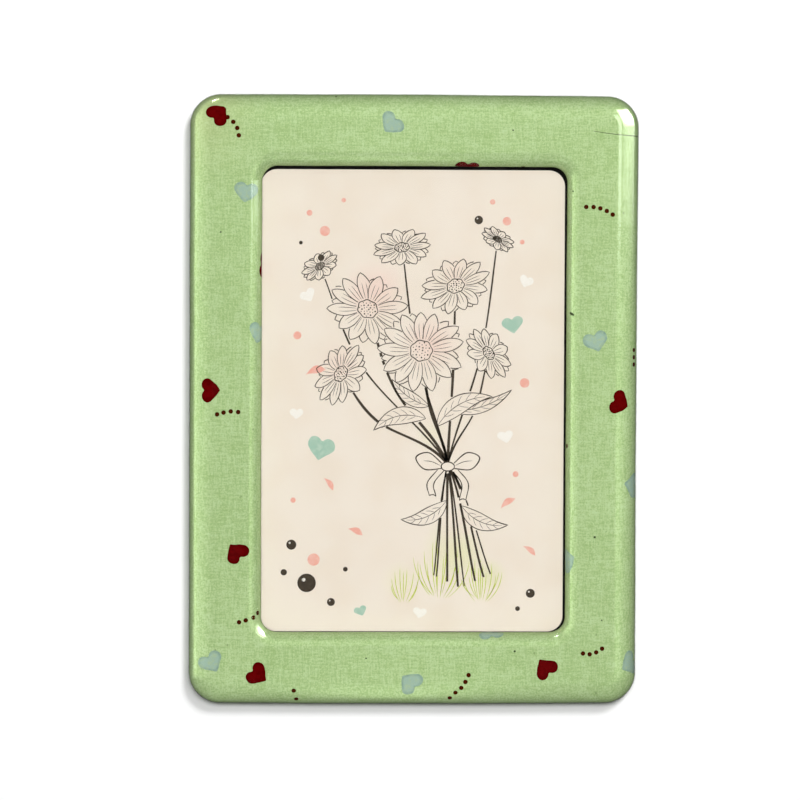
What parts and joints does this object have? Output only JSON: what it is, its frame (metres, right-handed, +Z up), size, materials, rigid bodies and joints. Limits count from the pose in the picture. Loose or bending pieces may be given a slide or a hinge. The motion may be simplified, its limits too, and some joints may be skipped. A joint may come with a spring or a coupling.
{
  "type": "magnetic photo frame",
  "caption": "Upright photo frame for a fridge or steel board: a soft-edged printed tin border round a window, a photo card and pane that slide out of the top, and a magnet sheet back.",
  "frame": {"origin": "centre of the magnet sheet's back face, the face that lies on the steel surface", "axes": "+Y out of the back into the steel surface, +Z up the picture, +X to the viewer's right"},
  "size_m": [0.0842, 0.0062, 0.1144],
  "materials": {
    "tinplate": "bright rolled",
    "printed_paper": "printed, matt",
    "clear_film": "clear gloss film",
    "black_plastic": "moulded",
    "clear_pane": "clear sheet",
    "printed_card": "printed, matt",
    "magnet_rubber": "matt calendered",
    "foam_tape": "foam"
  },
  "bodies": {
    "frame": {"front_shell": "tinplate", "printed_paper": "printed_paper", "clear_film": "clear_film", "backing_ring": "black_plastic", "magnet_sheet": "magnet_rubber", "spacer_strip_left": "foam_tape", "spacer_strip_right": "foam_tape", "spacer_strip_bottom": "foam_tape"},
    "pane": {"window_pane": "clear_pane"},
    "card": {"photo_card": "printed_card"}
  },
  "joints": [
    {"name": "pane_slide", "type": "slide", "parent": "frame", "child": "pane", "axis": [0, 0, 1], "range_m": [0, 0.095]},
    {"name": "card_slide", "type": "slide", "parent": "frame", "child": "card", "axis": [0, 0, 1], "range_m": [0, 0.095]}
  ]
}
